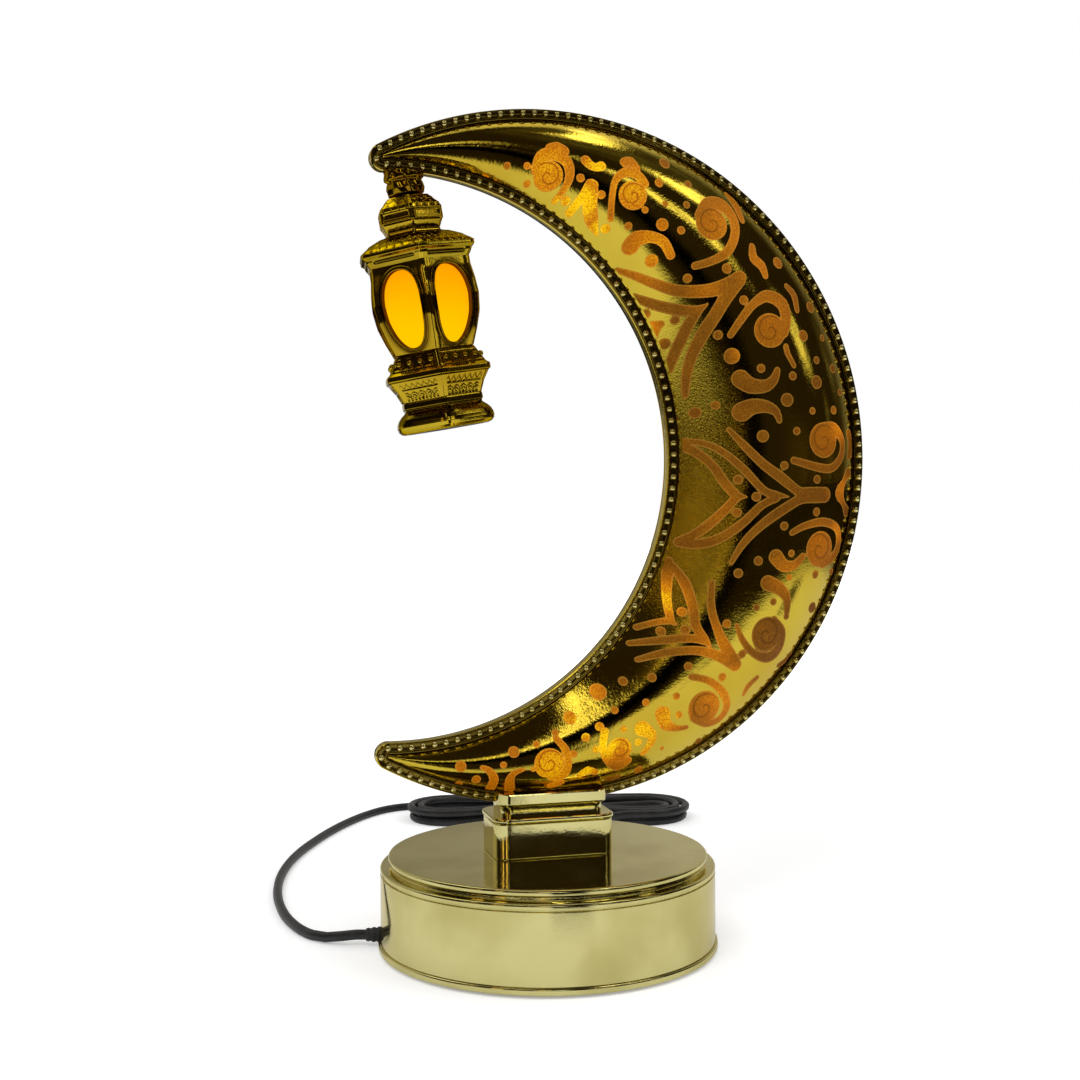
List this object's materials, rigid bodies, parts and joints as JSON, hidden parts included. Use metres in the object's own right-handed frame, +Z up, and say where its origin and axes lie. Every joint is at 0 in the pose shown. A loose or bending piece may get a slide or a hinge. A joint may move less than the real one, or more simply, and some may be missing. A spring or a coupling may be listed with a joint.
{
  "type": "table lamp",
  "caption": "Table ornament lamp: a beaded metallised crescent with a six-sided lantern hung in its opening, on a round base with a cord",
  "frame": {"origin": "on the table under the middle of the round base", "axes": "+Z up; the front of the crescent faces -Y; the crescent opens towards -X"},
  "size_m": [0.1743, 0.2518, 0.2395],
  "materials": {
    "gold_plastic": "vacuum-metallised mirror gold",
    "black_rubber": "matt",
    "screw_steel": "zinc plated",
    "ballast_steel": "as cast",
    "board_laminate": "lacquered",
    "component_plastic": "moulded",
    "cord_jacket": "satin",
    "white_plastic": "matt",
    "amber_resin": "clear resin over the emitter",
    "amber_diffuser": "frosted, lit from inside",
    "copper_wire": "enamelled",
    "plug_metal": "bright"
  },
  "bodies": {
    "lamp": {"base_housing": "gold_plastic", "base_cover": "gold_plastic", "foot_pad": "black_rubber", "cover_screws": "screw_steel", "ballast": "ballast_steel", "circuit_board": "board_laminate", "board_parts": "component_plastic", "board_screws": "screw_steel", "cord_clamp": "component_plastic", "clamp_screws": "screw_steel", "inner_lead": "cord_jacket", "cord_sleeve": "black_rubber", "neck_block": "gold_plastic", "neck_saddle": "gold_plastic", "neck_screws": "screw_steel", "crescent_frame": "gold_plastic", "crescent_front_shell": "gold_plastic", "crescent_rear_shell": "gold_plastic", "bead_trim": "gold_plastic", "light_strip": "white_plastic", "light_chips": "amber_resin", "lantern_knuckle": "gold_plastic", "power_cord": "cord_jacket", "cord_hank": "cord_jacket", "cord_tie": "component_plastic", "cord_tail": "cord_jacket", "plug_body": "component_plastic", "plug_shell": "plug_metal"},
    "lantern": {"lantern_cap": "gold_plastic", "lantern_clip": "screw_steel", "lantern_cage": "gold_plastic", "lantern_diffuser": "amber_diffuser", "lantern_foot": "gold_plastic", "lantern_beads": "gold_plastic", "lantern_board": "board_laminate", "lantern_lamp": "amber_resin", "lantern_lead": "copper_wire", "lantern_plug": "component_plastic"}
  },
  "joints": [
    {"name": "lantern_swivel", "type": "hinge", "parent": "lamp", "child": "lantern", "pos_m": [-0.0399, 0, 0.2166], "axis": [-0.165, 0, 0.9863], "range_deg": [-150, 150]}
  ]
}
